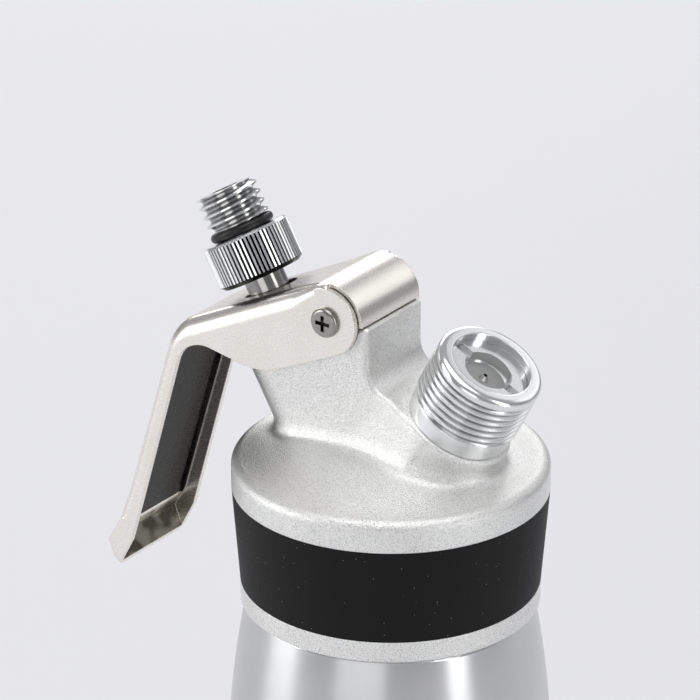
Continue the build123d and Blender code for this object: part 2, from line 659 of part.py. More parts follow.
def nozzle_adapter():
    """Knurled adapter on the stem's top, with the thread for the decorating nozzle."""
    knurl_top = THRUST_TOP + KNURL_L
    neck_top = knurl_top + O_NECK_L
    top = neck_top + NOZZLE_THREAD_L
    root_r = NOZZLE_THREAD_R - NOZZLE_THREAD_H
    rim = []
    for i in range(KNURL_COUNT):
        middle = 2 * pi * i / KNURL_COUNT
        half = KNURL_LAND / KNURL_R / 2
        groove = middle + pi / KNURL_COUNT
        rim.append((KNURL_R * cos(middle - half), KNURL_R * sin(middle - half)))
        rim.append((KNURL_R * cos(middle + half), KNURL_R * sin(middle + half)))
        rim.append(((KNURL_R - KNURL_DEPTH) * cos(groove), (KNURL_R - KNURL_DEPTH) * sin(groove)))
    blank = turned(
        [
            (0, THRUST_TOP),
            (KNURL_R - KNURL_LOW_BEVEL, THRUST_TOP),
            (KNURL_R, THRUST_TOP + KNURL_LOW_BEVEL),
            (KNURL_R, knurl_top - KNURL_TOP_BEVEL),
            (KNURL_R - KNURL_TOP_BEVEL, knurl_top),
            (0, knurl_top),
        ]
    )
    body = blank & Pos(0, 0, THRUST_TOP) * extrude(make_face(Polyline(*rim, close=True)), KNURL_L)
    body += rod(root_r - ADAPTER_GROOVE, knurl_top, neck_top) + rod(root_r, neck_top, top)
    low = neck_top + NOZZLE_LEAD
    high = top - NOZZLE_LEAD
    body += thread(root_r, NOZZLE_THREAD_R, NOZZLE_PITCH, low, high, NOZZLE_CREST, NOZZLE_ROOT)
    body -= rod(STEM_R, THRUST_TOP - CUT, STEM_TOP + WASHER_T)
    body -= rod(OUTLET_R, STEM_TOP, top + CUT)
    return NOZZLE_FRAME.location * body


def adapter_o_ring():
    wire = ADAPTER_O_RING_W / 2
    ring_r = NOZZLE_THREAD_R - NOZZLE_THREAD_H - ADAPTER_GROOVE + wire
    return o_ring(ring_r, wire, THRUST_TOP + KNURL_L + O_NECK_L / 2, NOZZLE_FRAME)


def adapter_washer():
    """Seal between the stem's top and the adapter."""
    return tube(STEM_R, STEM_BORE_R, STEM_TOP, STEM_TOP + WASHER_T, NOZZLE_FRAME)


# ---- Charger inlet ----

def charger_inlet():
    """Threaded inlet screwed into the casting, with a wide mouth over a seat for the piercing plug."""
    root_r = INLET_THREAD_R - INLET_THREAD_H
    thread_top = INLET_L - INLET_RIM_L
    body = turned(
        [
            (0, -SPIGOT_L),
            (SPIGOT_R, -SPIGOT_L),
            (SPIGOT_R, 0),
            (INLET_BAND_R, 0),
            (INLET_BAND_R, INLET_BAND_L),
            (root_r, INLET_BAND_L),
            (root_r, thread_top),
            (INLET_THREAD_R, thread_top),
            (INLET_THREAD_R, INLET_L),
            (0, INLET_L),
        ]
    )
    body = fillet(body.edges().group_by(Axis.Z)[-1], INLET_ROUND)
    low = INLET_BAND_L + INLET_RELIEF
    high = thread_top - INLET_RELIEF
    body += thread(root_r, INLET_THREAD_R, INLET_PITCH, low, high, INLET_CREST, INLET_ROOT)
    body -= rod(MOUTH_R, PLUG_LOW, INLET_L + CUT)
    body -= rod(GAS_TUBE_R + SEAT_GAP, -SPIGOT_L - CUT, PLUG_LOW + CUT)
    return PORT_FRAME.location * body


def inlet_o_ring():
    return o_ring(SPIGOT_R + INLET_RING_W / 2, INLET_RING_W / 2, -INLET_RING_W / 2, PORT_FRAME)


def piercing_plug():
    """Slotted plug with a recess for the charger's neck and a gas tube that reaches into the head."""
    tube_low = PLUG_LOW - GAS_TUBE_L
    body = turned(
        [
            (0, tube_low),
            (GAS_TUBE_R, tube_low),
            (GAS_TUBE_R, PLUG_LOW),
            (MOUTH_R - RUN_FIT, PLUG_LOW),
            (MOUTH_R - RUN_FIT, PLUG_TOP),
            (0, PLUG_TOP),
        ]
    )
    body -= rod(PLUG_BORE_R, PLUG_TOP - PLUG_RECESS, PLUG_TOP + CUT)
    body -= rod(CHARGER_SEAL_R, SEAL_FLOOR, PLUG_TOP)
    body -= Pos(0, 0, PLUG_TOP) * Box(4 * MOUTH_R, PLUG_SLOT_W, 2 * PLUG_SLOT_D)
    hole = tube_low + SLEEVE_L / 2 + GAS_BORE_R
    body -= rod(PIN_R, PLUG_LOW, PLUG_TOP)
    body -= rod(GAS_BORE_R, hole - GAS_BORE_R, PLUG_LOW + CUT)
    body -= Pos(0, 0, hole) * extrude(Plane.YZ * Circle(GAS_BORE_R), 2 * GAS_TUBE_R, both=True)
    return PORT_FRAME.location * body


def piercing_pin():
    """Hollow needle that opens the charger."""
    tip = PLUG_TOP - PLUG_RECESS + PIN_RISE
    tip_r = PIN_BORE_R + SEAT_GAP
    body = turned([(0, PLUG_LOW), (PIN_R, PLUG_LOW), (PIN_R, tip - PIN_R), (tip_r, tip), (0, tip)])
    return PORT_FRAME.location * (body - rod(PIN_BORE_R, PLUG_LOW - CUT, tip + CUT))


def charger_seal():
    """Grey seal at the bottom of the plug's recess, under the charger's neck."""
    return tube(CHARGER_SEAL_R, PIN_R, SEAL_FLOOR, SEAL_FLOOR + CHARGER_SEAL_T, PORT_FRAME)


def check_valve_sleeve():
    """Rubber sleeve over the gas tube's side holes."""
    low = PLUG_LOW - GAS_TUBE_L + GAS_BORE_R
    return tube(GAS_TUBE_R + SLEEVE_T, GAS_TUBE_R, low, low + SLEEVE_L, PORT_FRAME)


PARTS = (
    bottle,
    head_casting,
    grip_band,
    head_gasket,
    lever,
    pivot_barrel,
    pivot_screw,
    thrust_collar,
    return_spring,
    stem_guide,
    valve_stem,
    stem_o_ring,
    valve_gasket,
    gasket_retainer,
    nozzle_adapter,
    adapter_o_ring,
    adapter_washer,
    charger_inlet,
    inlet_o_ring,
    piercing_plug,
    piercing_pin,
    charger_seal,
    check_valve_sleeve,
)

os.makedirs("parts", exist_ok=True)
for part in PARTS:
    export_step(part(), f"parts/{part.__name__}.step")
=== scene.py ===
import bmesh
import bpy
import numpy as np
from math import cos, pi, radians, sin
from mathutils import Matrix, Vector


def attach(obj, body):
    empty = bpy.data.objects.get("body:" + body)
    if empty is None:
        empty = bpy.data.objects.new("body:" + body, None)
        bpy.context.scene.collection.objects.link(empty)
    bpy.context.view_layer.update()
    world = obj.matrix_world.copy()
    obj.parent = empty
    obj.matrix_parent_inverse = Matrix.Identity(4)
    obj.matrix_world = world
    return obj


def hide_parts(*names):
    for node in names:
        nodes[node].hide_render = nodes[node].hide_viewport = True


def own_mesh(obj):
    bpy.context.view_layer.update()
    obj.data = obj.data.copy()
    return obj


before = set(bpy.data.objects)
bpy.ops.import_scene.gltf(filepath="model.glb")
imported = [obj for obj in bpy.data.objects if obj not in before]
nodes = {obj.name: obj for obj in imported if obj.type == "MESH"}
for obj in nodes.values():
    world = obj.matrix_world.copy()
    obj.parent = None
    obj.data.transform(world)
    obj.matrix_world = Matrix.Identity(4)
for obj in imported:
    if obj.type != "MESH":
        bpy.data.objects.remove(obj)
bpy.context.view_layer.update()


# ---- Studio ----
# A pale table between large soft boxes: one overhead, two behind, one in front on the handle's side, a
# narrow one beyond the inlet and a low one in front. None is over three times as bright as lit paper, so
# that what the satin metal mirrors of them isn't burnt out.

scene = bpy.context.scene
scene.view_settings.view_transform = "Standard"


def linear(hex_colour):
    """An sRGB hex colour as linear RGBA."""
    parts = [int(hex_colour[i : i + 2], 16) / 255 for i in (1, 3, 5)]
    return [c / 12.92 if c <= 0.04045 else ((c + 0.055) / 1.055) ** 2.4 for c in parts] + [1.0]


def add(tree, kind, settings=None, links=None):
    """Adds a node. Settings go on its properties, or on its inputs by name or number, and so do links."""
    made = tree.nodes.new(kind)
    for name, value in (settings or {}).items():
        if isinstance(name, str) and hasattr(made, name):
            setattr(made, name, value)
        else:
            made.inputs[name].default_value = value
    for name, source in (links or {}).items():
        tree.links.new(source, made.inputs[name])
    return made


TABLE = 30  # half of the table's side, in metres, so that its edge is far out of sight
corners = [(-TABLE, -TABLE, 0), (TABLE, -TABLE, 0), (TABLE, TABLE, 0), (-TABLE, TABLE, 0)]
table_mesh = bpy.data.meshes.new("table_top")
table_mesh.from_pydata(corners, [], [(0, 1, 2, 3)])
table = bpy.data.objects.new("table_top", table_mesh)
scene.collection.objects.link(table)

paint = bpy.data.materials.new("matt_grey_table")
paint.use_nodes = True
paint.node_tree.nodes["Principled BSDF"].inputs["Base Color"].default_value = linear("#e6e6e8")
paint.node_tree.nodes["Principled BSDF"].inputs["Roughness"].default_value = 0.7
table_mesh.materials.append(paint)

# The room is mid grey, a little lighter overhead than at the horizon.
scene.world = bpy.data.worlds.new("soft_room")
scene.world.use_nodes = True
room = scene.world.node_tree
room.nodes.clear()
direction = add(room, "ShaderNodeTexCoord").outputs["Generated"]
height = add(room, "ShaderNodeSeparateXYZ", links={0: direction}).outputs["Z"]
shade = add(room, "ShaderNodeValToRGB", links={0: height})
for stop, position, grey in zip(shade.color_ramp.elements, (0.02, 0.75), ("#8f8f93", "#a6a6aa")):
    stop.position = position
    stop.color = linear(grey)
glow = add(room, "ShaderNodeBackground", {"Strength": 1.0}, {"Color": shade.outputs["Color"]})
add(room, "ShaderNodeOutputWorld", links={"Surface": glow.outputs["Background"]})

HEAD = Vector((0, 0, 0.19))  # in metres, and what the lamps face


def soft_box(name, place, width, height, brightness):
    """A rectangular lamp that faces the head. Its face is brightness times as bright as a lit white."""
    lamp = bpy.data.lights.new(name, "AREA")
    lamp.shape = "RECTANGLE"
    lamp.size = width
    lamp.size_y = height
    lamp.energy = brightness * pi * width * height
    made = bpy.data.objects.new(name, lamp)
    made.location = place
    made.rotation_euler = (HEAD - Vector(place)).to_track_quat("-Z", "Y").to_euler()
    scene.collection.objects.link(made)


soft_box("back_box", (-0.95, 1.1, 0.8), 1.3, 0.8, 2.2)
soft_box("overhead_box", (0.1, -0.1, 1.4), 1.0, 1.0, 2.0)
soft_box("front_box", (-1.1, -0.9, 0.6), 0.7, 1.1, 3.0)
soft_box("side_box", (1.25, -0.1, 0.5), 0.35, 1.0, 3.0)
soft_box("low_box", (0.35, -1.5, 0.35), 1.0, 0.5, 1.6)
soft_box("far_box", (0.45, 1.2, 0.9), 1.2, 0.7, 0.8)

# The camera stands a metre away, well to the inlet's side of the lever and a little above it. The point at
# the top of the grip band, on the bottle's axis, comes to the right of the frame's middle and below it.
FRAME_WIDTH = 700  # pixels
SCALE = 4438  # pixels a metre, at the bottle's axis
ASIDE, BELOW = 40.93, 131.72  # pixels
BAND_CENTRE = Vector((0, 0, 0.178))
turn, rise = radians(35.5), radians(24.17)
right = Vector((cos(turn), sin(turn), 0))
up = Vector((-sin(turn) * sin(rise), cos(turn) * sin(rise), cos(rise)))
back = Vector((sin(turn) * cos(rise), -cos(turn) * cos(rise), sin(rise)))
lens = bpy.data.cameras.new("camera")
lens.sensor_width = 36.0
lens.lens = lens.sensor_width * SCALE / FRAME_WIDTH
lens.clip_start = 0.05
camera = bpy.data.objects.new("camera", lens)
camera.matrix_world = Matrix((right, up, back)).transposed().to_4x4()
camera.location = back - right * (ASIDE / SCALE) + up * (BELOW / SCALE) + BAND_CENTRE
scene.collection.objects.link(camera)
scene.camera = camera


# ---- Bottle ----
# Deep-drawn aluminium with a threaded neck, satin finished on a wheel. The finish blurs what it mirrors
# into soft upright bands. The wheel's rings only vary its gloss, and are drawn 0.6 mm apart, coarser than
# the real ones.

MM = 0.001


def new_finish(name, metallic=1.0):
    """A new material, its tree and its shader."""
    made = bpy.data.materials.new(name)
    made.use_nodes = True
    shader = made.node_tree.nodes["Principled BSDF"]
    shader.inputs["Metallic"].default_value = metallic
    return made, made.node_tree, shader


def surface(shader, colour, pattern, dull, relief, spread=(0, 1), edge=None):
    """Gives a shader its colour, and a roughness and a relief that both follow one pattern. The roughness
    goes from its first value to its second over the pattern's spread, the relief is a depth in mm, and
    edges are broken by a radius in mm."""
    tree = shader.id_data
    tree.links.new(colour, shader.inputs["Base Color"])
    span = {"From Min": spread[0], "From Max": spread[1], "To Min": dull[0], "To Max": dull[1]}
    gloss = add(tree, "ShaderNodeMapRange", span, {"Value": pattern})
    tree.links.new(gloss.outputs["Result"], shader.inputs["Roughness"])
    bumps = add(tree, "ShaderNodeBump", {"Strength": 1.0, "Distance": relief * MM}, {"Height": pattern})
    if edge:
        worn = add(tree, "ShaderNodeBevel", {"samples": 4, "Radius": edge * MM})
        tree.links.new(worn.outputs["Normal"], bumps.inputs["Normal"])
    tree.links.new(bumps.outputs["Normal"], shader.inputs["Normal"])


def dress(name, material):
    """Gives a CAD node its finish."""
    slots = nodes[name].data.materials
    slots.clear()
    slots.append(material)


satin_aluminium, tree, shader = new_finish("satin_aluminium")
at = add(tree, "ShaderNodeTexCoord").outputs["Object"]
height = add(tree, "ShaderNodeSeparateXYZ", links={0: at}).outputs["Z"]
wheel = {"noise_dimensions": "1D", "Scale": 1 / (0.6 * MM)}
wheel = add(tree, "ShaderNodeTexNoise", wheel, {"W": height}).outputs["Fac"]
cloud = add(tree, "ShaderNodeTexNoise", {"Scale": 1 / (14 * MM)}, {"Vector": at}).outputs["Fac"]
colour = {"data_type": "RGBA", 6: linear("#cfd0d1"), 7: linear("#dfdfde")}
colour = add(tree, "ShaderNodeMix", colour, {0: cloud}).outputs[2]
surface(shader, colour, wheel, dull=(0.27, 0.33), relief=0.0008)
shader.inputs["Anisotropic"].default_value = 0.85
shader.inputs["Anisotropic Rotation"].default_value = 0.25
grain_way = add(tree, "ShaderNodeTangent", {"direction_type": "RADIAL", "axis": "Z"})
tree.links.new(grain_way.outputs["Tangent"], shader.inputs["Tangent"])
dress("bottle", satin_aluminium)


# ---- Head casting ----
# One aluminium casting holds the bottle's thread, the valve, the lever's pivot and the inlet. Its forms run
# into each other in soft hollows, and it is blasted with fine beads after the seats are machined.

# Places and sizes in mm, and leans from the vertical in degrees. The valve leans towards the handle, the
# inlet away from it. The valve's axis is VALVE_OUT from the pivot, and its seat's face lies a little above
# its origin. The dome is part of a sphere, and the neck swells towards the boss over SWELL.
PIVOT = (-9.0, 0.0, 219.5)
NOZZLE, NOZZLE_LEAN = (-28.572, 0.0, 208.2), 30
INLET, INLET_LEAN = (18.4, 0.0, 198.3), 28
NOZZLE_WAY = (-sin(radians(NOZZLE_LEAN)), 0, cos(radians(NOZZLE_LEAN)))
INLET_WAY = (sin(radians(INLET_LEAN)), 0, cos(radians(INLET_LEAN)))
BAND_TOP, RIM_TOP, RIM_R = 178.0, 184.6, 36.0
DOME_R, DOME_MIDDLE, DOME_EDGE = 100.47, 90.33, 184.8
NECK_HALF, BOSS_R, SWELL = 11.0, 12.8, 17.0
VALVE_OUT, VALVE_FACE = 22.6, 0.9


def joined(first, second, radius):
    """Two distance fields as one body, with a hollow of the given radius where they meet."""
    near = np.hypot(np.maximum(radius - first, 0), np.maximum(radius - second, 0))
    return np.maximum(radius, np.minimum(first, second)) - near


def melted(first, second, reach):
    """Two distance fields as one body whose walls run into each other over the given reach."""
    share = np.maximum(reach - np.abs(first - second), 0) / reach
    return np.minimum(first, second) - share * share * reach / 4


def common(first, second, radius):
    """What two distance fields share, with the edge between them rounded."""
    near = np.hypot(np.maximum(first + radius, 0), np.maximum(second + radius, 0))
    return np.minimum(-radius, np.maximum(first, second)) + near


def outline_distance(x, z, corners):
    """Signed distance in a plane to a closed outline: to the nearest of its sides, negative inside."""
    nearest, inside = np.inf, False
    for (ax, az), (bx, bz) in zip(corners, corners[1:] + corners[:1]):
        ex, ez = bx - ax, bz - az
        along = np.clip(((x - ax) * ex + (z - az) * ez) / (ex * ex + ez * ez), 0, 1)
        nearest = np.minimum(nearest, np.hypot(x - ax - along * ex, z - az - along * ez))
        crossed = (az <= z) != (bz <= z)
        inside = inside ^ (crossed & (x - ax < (z - az) * (ex / (ez or 1))))
    return np.where(inside, -nearest, nearest)


def axis_distance(x, y, z, origin, tilt):
    """Distance to an axis that leans from the vertical towards +X, and the height along it."""
    x, z = x - origin[0], z - origin[2]
    across = x * cos(radians(tilt)) - z * sin(radians(tilt))
    return np.hypot(across, y), x * sin(radians(tilt)) + z * cos(radians(tilt))


def from_pivot(outwards, up):
    """X and Z of a point given square to the nozzle's axis and along it, from the pivot."""
    return (
        PIVOT[0] - outwards * cos(radians(NOZZLE_LEAN)) - up * sin(radians(NOZZLE_LEAN)),
        PIVOT[2] - outwards * sin(radians(NOZZLE_LEAN)) + up * cos(radians(NOZZLE_LEAN)),
    )


def arc(x, z, radius, start, end):
    """Points of an arc in X and Z, by its middle and by angles in degrees from +Z towards +X."""
    return [(x + radius * sin(a), z + radius * cos(a)) for a in np.radians(np.linspace(start, end, 12))]


# The neck from the side, in X and Z: a hollow above the inlet's boss, a crown round the pivot, the flat
# where the valve comes out, the long front and the boss.
NECK_SIDE = arc(6.44, 209.81, 5.54, -173, -90) + [(0.9, 219.2), (-3.0, 219.2)]
NECK_SIDE += arc(PIVOT[0], PIVOT[2], 6, 90, -30)
NECK_SIDE += [from_pivot(12.6, 5.2), from_pivot(14.6, VALVE_FACE), from_pivot(VALVE_OUT, VALVE_FACE)]
NECK_SIDE += [from_pivot(VALVE_OUT, -42), (4.3, 171.8), (INLET[0], INLET[2])]


def casting_field(x, y, z):
    """Distance in mm to the casting's outside: a shallow dome that runs out softly into its rim, the flat
    neck with its round front and flared foot, and the inlet's boss, faced flat round the inlet. The last
    value that each joint or overlap is given is the radius, in mm, of its hollow or its rounding."""
    radius = np.hypot(x, y)
    dome = np.sqrt(DOME_R**2 - radius**2) + DOME_MIDDLE - DOME_EDGE
    dome = (dome + np.sqrt(dome**2 + 0.8)) / 2
    body = common(radius - RIM_R, z - RIM_TOP - dome, 1.9)
    lean = radians(INLET_LEAN)
    across = (x - INLET[0]) * cos(lean) - (z - INLET[2]) * sin(lean)
    swell = np.clip((across + SWELL) / SWELL, 0, 1)
    half = NECK_HALF + (BOSS_R - NECK_HALF) * swell * swell * (3 - 2 * swell)
    neck = common(outline_distance(x, z, NECK_SIDE), np.abs(y) - half, 1.3)
    reach, height = axis_distance(x, y, z, NOZZLE, -NOZZLE_LEAN)
    neck = np.minimum(neck, common(reach - NECK_HALF, height - VALVE_FACE, 0.8))
    reach, height = axis_distance(x, y, z, INLET, INLET_LEAN)
    neck = melted(neck, common(reach - BOSS_R, height, 1.3), 1.0)
    flare = joined(body + 1.3, neck, 5.0)
    body = joined(body, flare, 0.9)
    return common(body, -common(reach - BOSS_R + 0.05, -height, 0.3), 0.3)


def skin_of(field, low, high, step):
    """Closed mesh of a field's zero level. Each cell of the grid that the level crosses gets a vertex at
    the mean of its crossings, the four neighbours round a crossed edge make a quad, and the vertices then
    slide onto the level."""
    lines = [np.arange(a, b + step, step) for a, b in zip(low, high)]
    value = field(lines[0][:, None, None], lines[1][None, :, None], lines[2][None, None, :])
    cells = tuple(n - 1 for n in value.shape)
    total = np.zeros(cells + (3,))
    count = np.zeros(cells)
    crossings = []
    for axis in range(3):
        first = np.moveaxis(value, axis, 0)[:-1]
        second = np.moveaxis(value, axis, 0)[1:]
        crossed = np.moveaxis((first < 0) != (second < 0), 0, axis)
        share = np.moveaxis(first / np.where(first == second, 1, first - second), 0, axis)
        crossings.append((crossed, np.moveaxis(first < 0, 0, axis)))
        one, two = (a for a in range(3) if a != axis)
        for low_one in (0, 1):
            for low_two in (0, 1):
                cut = [slice(None)] * 3
                cut[one] = slice(low_one, low_one + cells[one])
                cut[two] = slice(low_two, low_two + cells[two])
                hit = crossed[tuple(cut)]
                count += hit
                total[..., one] += hit * low_one
                total[..., two] += hit * low_two
                total[..., axis] += np.where(hit, share[tuple(cut)], 0)
    used = count > 0
    number = np.full(cells, -1)
    number[used] = np.arange(used.sum())
    points = np.argwhere(used) + total[used] / count[used][:, None]
    points = np.array([line[0] for line in lines]) + points * step
    quads = []
    for axis, (crossed, inner) in enumerate(crossings):
        one, two = (axis + 1) % 3, (axis + 2) % 3
        at = np.argwhere(crossed)
        at = at[(at[:, one] > 0) & (at[:, two] > 0) & (at[:, one] < cells[one]) & (at[:, two] < cells[two])]
        ring = []
        for back_one, back_two in ((0, 0), (1, 0), (1, 1), (0, 1)):
            cell = at.copy()
            cell[:, one] -= back_one
            cell[:, two] -= back_two
            ring.append(number[tuple(cell.T)])
        ring = np.stack(ring, axis=1)
        outward = inner[tuple(at.T)]
        quads.append(np.where(outward[:, None], ring, ring[:, ::-1]))
    small = 0.01  # mm, over which the field's slope is measured
    for _ in range(4):
        x, y, z = points.T
        here = field(x, y, z)
        slope = [field(x + small, y, z), field(x, y + small, z), field(x, y, z + small)]
        slope = (np.stack(slope, axis=1) - here[:, None]) / small
        points = points - slope * (here / np.maximum((slope**2).sum(axis=1), 0.2))[:, None]
    return points, np.concatenate(quads)


def solid(name, points, faces):
    """A mesh object from points in millimetres."""
    mesh = bpy.data.meshes.new(name)
    mesh.from_pydata((np.asarray(points) * MM).tolist(), [], faces)
    made = bpy.data.objects.new(name, mesh)
    scene.collection.objects.link(made)
    return made


def lathe(name, profile, origin=(0, 0, 0), axis=(0, 0, 1), count=96):
    """A closed turned body: each (radius, height) corner, from the low end up, is carried round an axis."""
    turns = np.arange(count) * (2 * pi / count)
    up = np.array(axis, dtype=float)
    aside = np.cross(up, (0, 1, 0) if abs(up[1]) < 0.9 else (1, 0, 0))
    aside /= np.linalg.norm(aside)
    round_way = np.cos(turns)[:, None] * aside + np.sin(turns)[:, None] * np.cross(up, aside)
    rings = [radius * round_way + height * up + origin for radius, height in profile[1:-1]]
    ends = [profile[0][1] * up + origin, profile[-1][1] * up + origin]
    points = np.concatenate(rings + [np.array(ends)])
    index = np.arange(len(rings) * count).reshape(-1, count)
    after = np.roll(index, -1, axis=1)
    faces = np.stack([index[:-1], after[:-1], after[1:], index[1:]], axis=-1).reshape(-1, 4).tolist()
    low, high = np.full(count, index.size), np.full(count, index.size + 1)
    faces += np.stack([low, after[0], index[0]], axis=1).tolist()
    faces += np.stack([high, index[-1], after[-1]], axis=1).tolist()
    return solid(name, points, faces)


def carve(body, tool, how):
    """Adds or takes away a tool's body, and drops the tool."""
    step = body.modifiers.new(how.lower(), "BOOLEAN")
    step.operation = how
    step.solver = "MANIFOLD"
    step.object = tool
    bpy.context.view_layer.objects.active = body
    bpy.ops.object.modifier_apply(modifier=step.name)
    bpy.data.objects.remove(tool)


def cap_below(body, level):
    """Cuts a body flat at a height in millimetres and closes the cut."""
    work = bmesh.new()
    work.from_mesh(body.data)
    everything = work.verts[:] + work.edges[:] + work.faces[:]
    plane = {"plane_co": (0, 0, level * MM), "plane_no": (0, 0, -1)}
    bmesh.ops.bisect_plane(work, geom=everything, clear_outer=True, **plane)
    rim = [edge for edge in work.edges if edge.is_boundary]
    bmesh.ops.edgeloop_fill(work, edges=rim)
    bmesh.ops.recalc_face_normals(work, faces=work.faces)
    work.to_mesh(body.data)
    work.free()


def smooth(piece, material, angle):
    """Gives a piece one material and smooth shading, broken where faces meet at an angle in degrees."""
    mesh = piece.data
    mesh.materials.clear()
    mesh.polygons.foreach_set("material_index", [0] * len(mesh.polygons))
    mesh.polygons.foreach_set("use_smooth", [True] * len(mesh.polygons))
    mesh.set_sharp_from_angle(angle=radians(angle))
    mesh.materials.append(material)


# The outside is worked out a little longer than it is, on a grid of 0.6 mm, and cut flat above the band.
points, quads = skin_of(casting_field, (-39, -38, BAND_TOP - 1.9), (38, 38, 227), 0.6)
casting = solid("cast_head", points, quads.tolist())
cap_below(casting, BAND_TOP)

# The collar, and the seats and bores that are machined, each as radius and height from its low end up.
collar = [(0, 150.1), (34.0, 150.1), (34.2, 150.3), (34.2, 155.1), (33.2, 155.1), (33.2, 181), (0, 181)]
socket = [(0, 149), (30.9, 149), (30.9, 173), (25, 173), (25, 183.1), (0, 183.1)]
valve_boss = [(0, -34), (8.6, -34), (8.6, -9), (0, -9)]
valve_bores = [(0, -35), (4.6, -35), (4.6, -15), (5.5, -15), (5.5, -9), (6.8, -9), (6.8, 3), (0, 3)]
inlet_bores = [(0, -23), (4.5, -23), (4.5, -8), (8.6, -8), (8.6, -1.8), (10.4, -1.8), (10.4, 2), (0, 2)]
pivot_hole = [(0, -13), (3, -13), (3, 13), (0, 13)]
carve(casting, lathe("collar", collar, count=180), "UNION")
carve(casting, lathe("socket", socket, count=180), "DIFFERENCE")
carve(casting, lathe("valve_boss", valve_boss, NOZZLE, NOZZLE_WAY), "UNION")
carve(casting, lathe("valve_bores", valve_bores, NOZZLE, NOZZLE_WAY), "DIFFERENCE")
carve(casting, lathe("inlet_bores", inlet_bores, INLET, INLET_WAY), "DIFFERENCE")
carve(casting, lathe("pivot_hole", pivot_hole, PIVOT, (0, 1, 0)), "DIFFERENCE")

# Bead blasting leaves an even frost of fine pits, with painted shade at their bottoms. They are drawn 0.26
# mm wide, coarser than the real ones, so that they show.
blasted_aluminium, tree, shader = new_finish("bead_blasted_aluminium")
at = add(tree, "ShaderNodeTexCoord").outputs["Object"]
pits = {"Scale": 1 / (0.26 * MM), "Detail": 1.0}
pits = add(tree, "ShaderNodeTexNoise", pits, {"Vector": at}).outputs["Fac"]
cloud = add(tree, "ShaderNodeTexNoise", {"Scale": 1 / (9 * MM)}, {"Vector": at}).outputs["Fac"]
colour = {"data_type": "RGBA", 6: linear("#ecece9"), 7: linear("#f7f7f5")}
colour = add(tree, "ShaderNodeMix", colour, {0: cloud}).outputs[2]
shadow = {"From Min": 0.5, "From Max": 0.36, "To Max": 0.42}
shadow = add(tree, "ShaderNodeMapRange", shadow, {"Value": pits}).outputs["Result"]
colour = {"data_type": "RGBA", 7: linear("#8a8a87")}, {0: shadow, 6: colour}
colour = add(tree, "ShaderNodeMix", *colour).outputs[2]
surface(shader, colour, pits, dull=(0.28, 0.42), relief=0.15, spread=(0.3, 0.7), edge=0.4)
smooth(casting, blasted_aluminium, 40)
dress("head_casting", blasted_aluminium)
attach(casting, "head")
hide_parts("head_casting")


# ---- Grip band ----
# A band of black silicone, stretched over the collar into its groove. It is moulded matt and gives little
# light back. Its grain is drawn 0.6 mm wide, coarser than the real one, and specks of white dust, 0.15 mm
# across, cling to it.

black_silicone, tree, shader = new_finish("black_silicone", metallic=0.0)
at = add(tree, "ShaderNodeTexCoord").outputs["Object"]
skin = add(tree, "ShaderNodeTexNoise", {"Scale": 1 / (0.6 * MM)}, {"Vector": at}).outputs["Fac"]
dust = add(tree, "ShaderNodeTexVoronoi", {"Scale": 1 / (1.6 * MM)}, {"Vector": at}).outputs["Distance"]
speck = add(tree, "ShaderNodeMath", {"operation": "LESS_THAN", 1: 0.045}, {0: dust}).outputs["Value"]
colour = {"data_type": "RGBA", 6: linear("#09090a"), 7: linear("#a9a9ab")}
colour = add(tree, "ShaderNodeMix", colour, {0: speck}).outputs[2]
surface(shader, colour, skin, dull=(0.5, 0.66), relief=0.02)
shader.inputs["Specular IOR Level"].default_value = 0.22
dress("grip_band", black_silicone)


# ---- Seals ----
# Moulded rubber, pressed between the metal parts: the flat washers are grey, the round rings and the check
# valve's sleeve are black. Its faint grain is drawn 0.5 mm wide, coarser than the real one.


def rubber(name, dark, light, roughness):
    """Moulded rubber: a dull skin with a faint grain."""
    made, tree, shader = new_finish(name, metallic=0.0)
    at = add(tree, "ShaderNodeTexCoord").outputs["Object"]
    skin = add(tree, "ShaderNodeTexNoise", {"Scale": 1 / (0.5 * MM)}, {"Vector": at}).outputs["Fac"]
    colour = {"data_type": "RGBA", 6: linear(dark), 7: linear(light)}
    colour = add(tree, "ShaderNodeMix", colour, {0: skin}).outputs[2]
    surface(shader, colour, skin, dull=(roughness - 0.1, roughness + 0.1), relief=0.02)
    shader.inputs["Specular IOR Level"].default_value = 0.4
    return made


grey_rubber = rubber("grey_rubber", "#939492", "#a5a5a3", 0.55)
black_rubber = rubber("black_rubber", "#0c0c0d", "#1b1b1c", 0.36)
for seal in ("head_gasket", "valve_gasket", "adapter_washer", "charger_seal"):
    dress(seal, grey_rubber)
for seal in ("stem_o_ring", "adapter_o_ring", "inlet_o_ring", "check_valve_sleeve"):
    dress(seal, black_rubber)


# ---- Lever ----
# Stamped from 1.2 mm stainless sheet and folded down at both sides. The outside is polished to a warm
# satin. The inside of the fold is painted near black and the flared lip a blotchy grey-brown, both painted
# shade.

# The frame of the lever's plate: its origin is the pivot, and it falls towards the handle. In it, in mm and
# radians, the plate's top, the sheet's half width, the bend's middle, radius and turn, and where the handle
# begins.
LEVER_LEAN = 26.2
PLATE_TOP, SHEET_HALF = 8.7, 12.5
BEND_ALONG, BEND_UP, BEND_R, BEND_TURN = 39.3, -3.3, 12, 0.817
HANDLE_ALONG, HANDLE_UP = 48.05, 4.91

